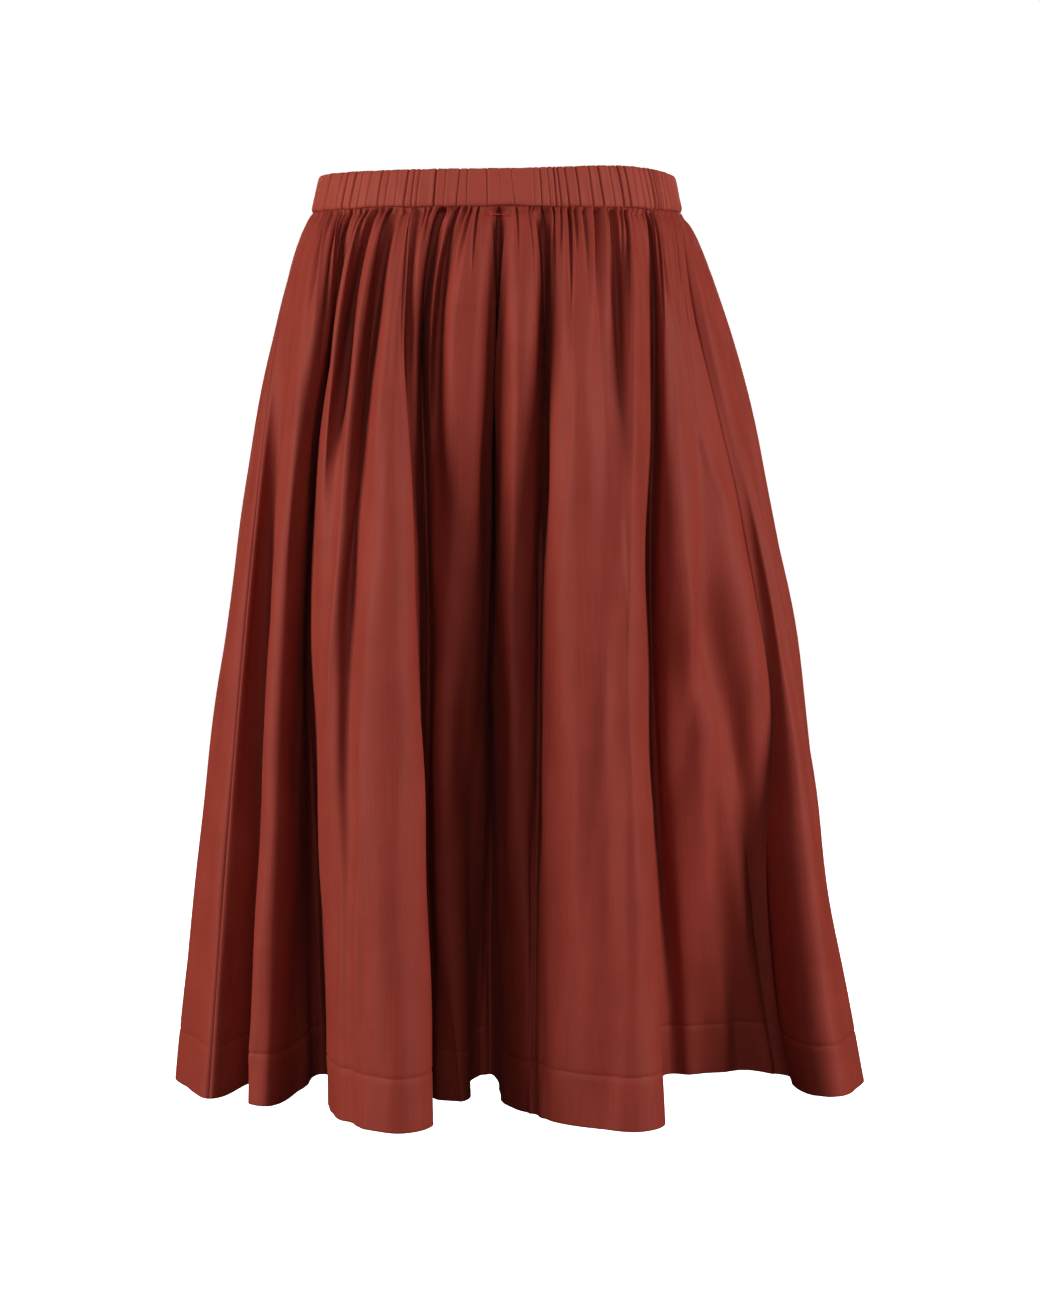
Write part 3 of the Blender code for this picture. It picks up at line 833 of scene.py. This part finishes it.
pocket_outer = []
pocket_inner = []
for down in np.linspace(0, 1, POCKET_ROWS):
    outer_row = []
    inner_row = []
    for share in np.linspace(1, 0, POCKET_COLUMNS):
        depth = POCKET_TOP + (POCKET_LENGTH - POCKET_ROUNDING * (2 * share - 1) ** 4) * down
        near_seam = RIGHT_SEAM + BESIDE_SEAM * np.array([-1.0, 0.0, 1.0])
        ring = on_curve(line_places(depth), near_seam)
        seam_x, seam_y = (ring - POCKET_CLEAR * sideways(ring))[1]
        reach = POCKET_REACH_TOP + (POCKET_REACH_FOOT - POCKET_REACH_TOP) * down
        width = seam_x / math.sqrt(1 - (seam_y / reach) ** 2)
        x = seam_x - POCKET_WIDTH * share
        y = -reach * math.sqrt(1 - (x / width) ** 2)
        tilt = np.array((x / width**2, y / reach**2))
        tilt *= 0.5 * POCKET_LAYERS / np.linalg.norm(tilt)
        waves = math.sin(POCKET_WAVES[0] * share + POCKET_WAVES[1] * down)
        y += POCKET_SLACK * waves * math.sin(math.pi * share)
        outer_row.append((x + tilt[0], y + tilt[1], -depth))
        inner_row.append((x - tilt[0], y - tilt[1], -depth))
    pocket_outer.append(outer_row)
    pocket_inner.append(inner_row)
pocket_outer = np.array(pocket_outer)
pocket = cloth_shell(
    "pocket_cloth", pocket_outer, np.array(pocket_inner), pocket_outer[:, :, [0, 2]]
)
pocket.data.materials.append(skirt_cotton)
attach(pocket, "root")
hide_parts("pocket_bag")

# Waistband
#
# A straight strip of the same cloth folded over wide elastic, which draws it up into uneven
# upright ruches. Its lower edge is seamed to the gathered top of the panels.

# Its height in millimetres, and how much narrower it is at its top
BAND_HEIGHT = 27
BAND_TAPER = 0.006
# How much longer the strip is when it is let out
BAND_LET_OUT = 1.6
# The band's top rides up by so much (in millimetres) at one place round the waist, over so many
# degrees
BAND_RISE = 3.6
BAND_RISE_ANGLE = 44
BAND_RISE_SPREAD = 26
# The band's two reds are the panels' reds painted lighter: a painted highlight for the stronger
# light at the top of the skirt
BAND_FACE_PAINTED_LIGHTER = "#A2463A"
BAND_SHADE_PAINTED_LIGHTER = "#953D31"
BAND_COLUMNS = 2400

# The ruches' creases that the front shows: angle round the waist, depth and how far the top of the
# crease leans over from its foot, both in millimetres
Ruche = namedtuple("Ruche", "angle depth lean")

FRONT_RUCHES = [Ruche(*row) for row in (
    (-84.5, 0.6, 0.4),
    (-80.0, 0.9, 0.8),
    (-74.7, 0.7, 0.5),
    (-70.5, 0.4, -0.3),
    (-66.2, 1.5, 1.2),
    (-62.0, 0.5, 0.6),
    (-58.2, 0.8, 0.8),
    (-54.7, 1.4, 1.4),
    (-50.4, 1.3, 1.8),
    (-47.0, 0.7, 0.9),
    (-43.0, 0.5, 0.5),
    (-38.4, 0.9, 1.0),
    (-35.6, 0.5, 0.8),
    (-32.0, 0.4, 0.2),
    (-28.6, 1.0, 0.9),
    (-26.2, 0.7, 0.4),
    (-24.5, 0.7, 0.6),
    (-18.9, 1.6, 0.2),
    (-15.7, 0.5, 0.6),
    (-11.6, 1.1, 1.2),
    (-8.8, 0.7, 0.2),
    (-2.7, 0.9, -0.4),
    (1.2, 0.3, -0.8),
    (5.2, 0.6, -2.6),
    (11.7, 0.5, -0.2),
    (13.8, 0.9, -0.4),
    (16.4, 0.7, -1.0),
    (18.3, 1.3, -0.8),
    (19.6, 1.0, -1.2),
    (22.2, 1.0, -1.4),
    (25.9, 1.0, -1.0),
    (30.4, 0.9, -1.2),
    (34.1, 1.2, -1.6),
    (38.3, 0.7, -1.2),
    (42.0, 1.4, -2.0),
    (45.0, 1.4, -1.6),
    (48.4, 0.5, -0.8),
    (51.7, 0.8, -1.0),
    (54.6, 0.9, -1.2),
    (57.2, 1.5, -1.2),
    (59.1, 1.5, -1.0),
    (60.6, 1.4, -1.0),
    (62.4, 1.4, -1.1),
    (65.4, 1.1, -0.8),
    (69.0, 1.3, -0.8),
    (72.2, 0.8, -0.4),
    (76.0, 1.0, -0.6),
    (79.5, 0.7, 0.2),
    (84.0, 1.1, -0.4),
)]

# Cross-section of the band, from its inner top edge over the top and down the outside: height from
# the seam and how far out from the middle of the wall, in millimetres, and the share of the
# ruches' depth that it has
BAND_SECTION = (
    (26.3, -1.80, 0.1),
    (26.9, -1.10, 0.3),
    (27.1, -0.20, 0.5),
    (26.9, 0.70, 0.7),
    (26.2, 1.40, 0.9),
    (24.9, 1.85, 1.0),
    (22.6, 2.10, 1.0),
    (19.8, 2.20, 1.0),
    (16.8, 2.25, 1.0),
    (13.6, 2.25, 1.0),
    (10.4, 2.25, 1.0),
    (7.4, 2.20, 1.0),
    (4.8, 2.15, 1.0),
    (2.7, 1.95, 1.0),
    (1.2, 1.45, 0.9),
    (0.3, 0.70, 0.8),
    (0.0, -0.20, 0.5),
    (0.2, -1.10, 0.3),
    (0.9, -1.80, 0.1),
)

# A ruche's crease: its width and how rounded its bottom is, its depth, and the puff beside it, as
# a width and a share of the depth. All widths are in millimetres
RUCHE_WIDTH = 0.9
RUCHE_ROUNDING = 0.3
RUCHE_PINCH = 1.7
RUCHE_PUFF_WIDTH = 2.6
RUCHE_PUFF = 0.42
# The fine ripples between the ruches: their height, the length round the waist to each radian of
# them, and their slant
RUCHE_RIPPLES = (
    (0.18, 2.3, 0.12),
    (0.15, 5.9, -0.2),
)
# The height at which the waist seam's straying has died out, and from which, over how much and how
# strongly the ruches scallop the band's top edge
WOBBLE_REACH = 14
SCALLOP_FROM = 22
SCALLOP_REACH = 5
SCALLOP = 0.45

# The hidden side's ruches follow no pattern, as the elastic draws them
BACK_FROM = 87.0
BACK_TO = 273.0

rng = np.random.default_rng(21)
ruches = list(FRONT_RUCHES)
angle = BACK_FROM
while angle < BACK_TO:
    ruches.append(Ruche(angle, 0.3 + 1.3 * rng.random() ** 1.4, 1.4 * rng.normal() * 0.7))
    angle += 1.2 + 4.6 * rng.random() ** 1.5

round_angles = np.linspace(-180, 180, BAND_COLUMNS, endpoint=False)
half_width = 0.5 * WAIST_WIDTH
half_depth = 0.5 * WAIST_DEPTH
turn = np.radians(round_angles)
ring = np.stack([half_width * np.sin(turn), -half_depth * np.cos(turn)], axis=1)
seam_run = 1000 * run_along(np.vstack([ring, ring[:1]]))
seam_length = seam_run[-1]
ring_run = seam_run[:-1]

# How far the waist seam strays up or down, in millimetres: height, waves round the waist, start
SEAM_WOBBLES = (
    (0.30, 9, 1.0),
    (0.22, 17, 0.3),
    (0.14, 31, 0.0),
)
seam_wobble = sum(size * np.sin(waves * turn + start) for size, waves, start in SEAM_WOBBLES)

band_rows = []
for height, outset, share in BAND_SECTION:
    relief = np.zeros(BAND_COLUMNS)
    for ruche in ruches:
        place = np.interp((ruche.angle + 180) % 360 - 180, round_angles, ring_run)
        # Its crease leans evenly both ways from the middle of the band's height
        place += ruche.lean * (height - 13) / 26
        away = (ring_run - place + 0.5 * seam_length) % seam_length - 0.5 * seam_length
        puff = RUCHE_PUFF * np.exp(-((away / RUCHE_PUFF_WIDTH) ** 2))
        relief += RUCHE_PINCH * ruche.depth * (puff - pinched(away / RUCHE_WIDTH, RUCHE_ROUNDING))
    for size, length, slant in RUCHE_RIPPLES:
        relief += size * np.sin(ring_run / length + slant * height)
    lean = BAND_TAPER * height / BAND_HEIGHT
    sizes = np.array([half_width - lean, half_depth - lean])
    points = ring / (half_width, half_depth) * sizes
    out = ring / np.array([half_width, half_depth]) ** 2
    out /= np.linalg.norm(out, axis=1, keepdims=True)
    points = points + out * (outset + share * relief)[:, None] / 1000
    level = height + seam_wobble * (1 - smooth_step(height / WOBBLE_REACH))
    level += SCALLOP * relief * smooth_step((height - SCALLOP_FROM) / SCALLOP_REACH)
    rise = np.exp(-(((round_angles - BAND_RISE_ANGLE) / BAND_RISE_SPREAD) ** 2))
    level += BAND_RISE * (height / BAND_HEIGHT) * rise
    band_rows.append(np.column_stack([points, level / 1000]))
band_rows = np.array(band_rows)
section_heights = np.array([row[0] for row in BAND_SECTION])[:, None]
band_chart = np.stack([
    np.broadcast_to(BAND_LET_OUT * ring_run / 1000, band_rows.shape[:2]),
    np.broadcast_to(section_heights / 1000, band_rows.shape[:2]),
], axis=2)

# The band's mesh closes on itself both ways, round the waist and round its section
faces = []
for row in range(len(BAND_SECTION)):
    here = row * BAND_COLUMNS
    below = (row + 1) % len(BAND_SECTION) * BAND_COLUMNS
    for column in range(BAND_COLUMNS):
        beside = (column + 1) % BAND_COLUMNS
        faces.append((here + column, below + column, below + beside, here + beside))
band = cloth_object(
    "waistband_cloth", band_rows.reshape(-1, 3), faces, band_chart.reshape(-1, 2)
)
# Its cotton is the panels' cloth with a painted highlight, lighter all over
band.data.materials.append(woven_cotton("ruched_band_cotton_painted_lighter", BAND_FACE_PAINTED_LIGHTER, BAND_SHADE_PAINTED_LIGHTER))
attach(band, "root")
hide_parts("waistband")

# Tack
#
# A short bar of bright red thread worked over the cloth just under the middle of the waist seam.
# It is a close row of upright stitches.
TACK_LENGTH = 0.0125
TACK_HEIGHT = 0.0011
TACK_THREAD = 0.00042
TACK_STITCHES = 32
# Its middle: how far to the right of the waist's, and how far below the seam
TACK_ASIDE = 0.0012
TACK_DEPTH = 0.0062
# How much its middle arches up, how far that moves its ends down, and how far it stands out
TACK_ARCH = 0.0009
TACK_ENDS_DOWN = 0.0004
TACK_OUT = 0.0006
TACK_RED = "#DA1226"
TWIST_SPACING = 0.0003
# Which way each stitch runs, and which way is out of the cloth
TACK_UPRIGHT = np.array((0.08, 0.0, 1.0))
TACK_OUTWARDS = np.array((0.0, -1.0, 0.15))
# Each stitch lies on what stands furthest out within this distance beside it
TACK_BRIDGE = 0.0022

thread_red = bpy.data.materials.new("red_buttonhole_twist")
thread_red.use_nodes = True
red_shader = thread_red.node_tree.nodes["Principled BSDF"]
red_shader.inputs["Base Color"].default_value = linear(TACK_RED)
red_shader.inputs["Roughness"].default_value = 0.42
twist = add_node(
    thread_red,
    "ShaderNodeTexWave",
    {
        "Vector": add_node(thread_red, "ShaderNodeTexCoord").outputs["Object"],
        "Scale": WAVE_PERIOD / TWIST_SPACING,
        "Distortion": 0.5,
    },
    bands_direction="DIAGONAL",
)
twist_bump = add_node(
    thread_red, "ShaderNodeBump", {"Height": twist.outputs["Fac"], "Distance": 0.00004}
)
thread_red.node_tree.links.new(twist_bump.outputs["Normal"], red_shader.inputs["Normal"])


def stitch_shape(length, thickness):
    """A stitch's points and faces: a short plump thread, lying along X, with its ends sunk in."""
    bpy.ops.mesh.primitive_uv_sphere_add(segments=8, ring_count=6, radius=0.5)
    blob = bpy.context.object
    bpy.ops.transform.resize(value=(length, thickness, thickness))
    bpy.ops.object.transform_apply(location=False, rotation=False, scale=True)
    points = np.array([vertex.co for vertex in blob.data.vertices])
    # A new sphere's faces come in another order each run, so they are put in one order
    faces = sorted(tuple(face.vertices) for face in blob.data.polygons)
    bpy.data.objects.remove(blob, do_unlink=True)
    return points, faces


def sewn(name, stitch, frames, material):
    """One object of stitches: each is a copy of one shape in a frame (place, along, out)."""
    stitch_points, stitch_faces = stitch
    points = []
    faces = []
    for place, along, out in frames:
        along = along / np.linalg.norm(along)
        across = np.cross(out, along)
        across /= np.linalg.norm(across)
        out = np.cross(along, across)
        start = len(points) * len(stitch_points)
        points.append(place + stitch_points @ np.array([along, across, out]))
        faces += [tuple(corner + start for corner in face) for face in stitch_faces]
    mesh = bpy.data.meshes.new(name)
    mesh.from_pydata(np.concatenate(points).tolist(), [], faces)
    mesh.shade_smooth()
    mesh.materials.append(material)
    thing = bpy.data.objects.new(name, mesh)
    bpy.context.scene.collection.objects.link(thing)
    return thing


def on_face(face, depths, depth_mm):
    """A line of points along a panel's face at a depth."""
    row = int(np.searchsorted(depths, depth_mm)) - 1
    share = (depth_mm - depths[row]) / (depths[row + 1] - depths[row])
    return face[row] * (1 - share) + face[row + 1] * share


tack_line = on_face(front_face, row_depths, 1000 * TACK_DEPTH)
tack_frames = []
for share in np.linspace(0, 1, TACK_STITCHES):
    x = TACK_ASIDE + TACK_LENGTH * (share - 0.5)
    y = tack_line[np.abs(tack_line[:, 0] - x) < TACK_BRIDGE, 1].min() - TACK_OUT
    z = TACK_ARCH * (1 - (2 * share - 1) ** 2) - TACK_ENDS_DOWN - TACK_DEPTH
    tack_frames.append((np.array((x, y, z)), TACK_UPRIGHT, TACK_OUTWARDS))
upright = stitch_shape(TACK_HEIGHT, TACK_THREAD)
tack = sewn("waist_tack", upright, tack_frames, thread_red)
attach(tack, "root")

# Hem stitching
#
# A single row of lockstitch in matching thread holds the turned-up hem, 38 mm above the edge. The
# stitches are about 3 mm long and sink a little into the cloth.
STITCH_LENGTH = 0.0030
STITCH_GAP = 0.0006
THREAD = 0.00042
SUNK = 0.00012
# The row stops so far from the side seams
STITCH_STOP = 0.004
THREAD_DARK = "#5A1E16"
THREAD_LIGHT = "#74291F"

hem_thread = bpy.data.materials.new("matching_polyester_thread")
hem_thread.use_nodes = True
hem_shader = hem_thread.node_tree.nodes["Principled BSDF"]
hem_shader.inputs["Roughness"].default_value = 0.5
strands = add_node(
    hem_thread,
    "ShaderNodeTexNoise",
    {
        "Vector": add_node(hem_thread, "ShaderNodeTexCoord").outputs["Object"],
        "Scale": 900.0,
        "Detail": 1.0,
    },
)
hem_dye = add_node(
    hem_thread,
    "ShaderNodeMix",
    {"Factor": strands.outputs["Fac"], 6: linear(THREAD_DARK), 7: linear(THREAD_LIGHT)},
    data_type="RGBA",
)
hem_thread.node_tree.links.new(hem_dye.outputs[2], hem_shader.inputs["Base Color"])


def along_line(line, run, distances):
    """The points at so far along a line of points in space."""
    return np.stack([np.interp(distances, run, line[:, k]) for k in range(3)], axis=1)


hem_stitch = stitch_shape(STITCH_LENGTH - STITCH_GAP, THREAD)
for name, face in (("front_hem_stitches", front_face), ("back_hem_stitches", back_face)):
    line = on_face(face, row_depths, 1000 * (SKIRT_DROP - HEM_TURN_UP))
    run = run_along(line)
    middles = np.arange(STITCH_STOP, run[-1] - STITCH_STOP, STITCH_LENGTH)
    places = along_line(line, run, middles)
    ahead = along_line(line, run, middles + STITCH_LENGTH / 3) - places
    frames = []
    for place, along in zip(places, ahead):
        out = np.array((along[1], -along[0], 0.0))
        out /= np.linalg.norm(out)
        frames.append((place - SUNK * out, along, out))
    stitches = sewn(name, hem_stitch, frames, hem_thread)
    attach(stitches, "root")

# The studio
#
# A pale paper sweep, seen well below and behind the skirt, and large soft lights to the left, the
# right and all round.
FLOOR_LEVEL = -1.05
SWEEP_FRONT = -4.0
SWEEP_BACK = 4.0
SWEEP_TOP = 4.0
SWEEP_HALF_WIDTH = 8.0
SWEEP_ROUNDING = 1.5
PAPER = "#F4F3F1"
PAPER_LIGHT = "#F8F7F5"
WHITE = (1.0, 1.0, 1.0, 1.0)

paper = bpy.data.materials.new("pale_paper")
paper.use_nodes = True
paper_shader = paper.node_tree.nodes["Principled BSDF"]
paper_shader.inputs["Roughness"].default_value = 0.9
paper_shader.inputs["Emission Color"].default_value = WHITE
paper_shader.inputs["Emission Strength"].default_value = 0.75
fibres = add_node(
    paper,
    "ShaderNodeTexNoise",
    {"Vector": add_node(paper, "ShaderNodeTexCoord").outputs["Object"], "Scale": 60.0},
)
paper_tone = add_node(
    paper,
    "ShaderNodeMix",
    {"Factor": fibres.outputs["Fac"], 6: linear(PAPER), 7: linear(PAPER_LIGHT)},
    data_type="RGBA",
)
paper.node_tree.links.new(paper_tone.outputs[2], paper_shader.inputs["Base Color"])
sweep = [(SWEEP_FRONT, FLOOR_LEVEL)]
for turn in np.radians(np.linspace(0, 90, 25)):
    sweep.append((
        SWEEP_BACK - SWEEP_ROUNDING * (1 - math.sin(turn)),
        FLOOR_LEVEL + SWEEP_ROUNDING * (1 - math.cos(turn)),
    ))
sweep.append((SWEEP_BACK, SWEEP_TOP))
points = [(x, y, z) for x in (-SWEEP_HALF_WIDTH, SWEEP_HALF_WIDTH) for y, z in sweep]
faces = [(k, k + len(sweep), k + len(sweep) + 1, k + 1) for k in range(len(sweep) - 1)]
mesh = bpy.data.meshes.new("paper_sweep")
mesh.from_pydata(points, [], faces)
mesh.shade_smooth()
mesh.materials.append(paper)
paper_sweep = bpy.data.objects.new("paper_sweep", mesh)
bpy.context.scene.collection.objects.link(paper_sweep)
# Only the camera sees the paper, as the light that it would throw back is the lamps' own here
paper_sweep.visible_diffuse = False
paper_sweep.visible_glossy = False

# Each light: its name, place, width, height and power in watts, and its colour. All face one point
LIT_POINT = Vector((0, 0, -0.35))
LIGHTS = (
    ("key", (-2.4, -0.9, 0.3), 1.4, 1.8, 71, "#FFF6EC"),
    ("fill", (2.4, -1.0, 0.3), 1.2, 1.8, 63, "#FFF8F2"),
    ("front", (0.0, -3.2, 0.5), 2.0, 1.4, 24, "#FFFFFF"),
    ("back", (0.0, 3.0, 0.5), 2.2, 1.6, 80, "#FFFFFF"),
    ("top", (0.0, 0.0, 2.4), 1.2, 1.2, 9, "#FFFFFF"),
)
for name, place, width, height, power, colour in LIGHTS:
    lamp = bpy.data.objects.new(name, bpy.data.lights.new(name, "AREA"))
    bpy.context.scene.collection.objects.link(lamp)
    lamp.data.shape = "RECTANGLE"
    lamp.data.size = width
    lamp.data.size_y = height
    lamp.data.energy = power
    lamp.data.color = linear(colour)[:3]
    lamp.visible_camera = False
    lamp.location = place
    lamp.rotation_euler = (LIT_POINT - Vector(place)).to_track_quat("-Z", "Y").to_euler()

world = bpy.data.worlds.new("studio")
world.use_nodes = True
backdrop = world.node_tree.nodes["Background"]
backdrop.inputs["Color"].default_value = WHITE
backdrop.inputs["Strength"].default_value = 1.0
world.cycles_visibility.diffuse = False
world.cycles_visibility.glossy = False
bpy.context.scene.world = world
bpy.context.scene.view_settings.view_transform = "Standard"
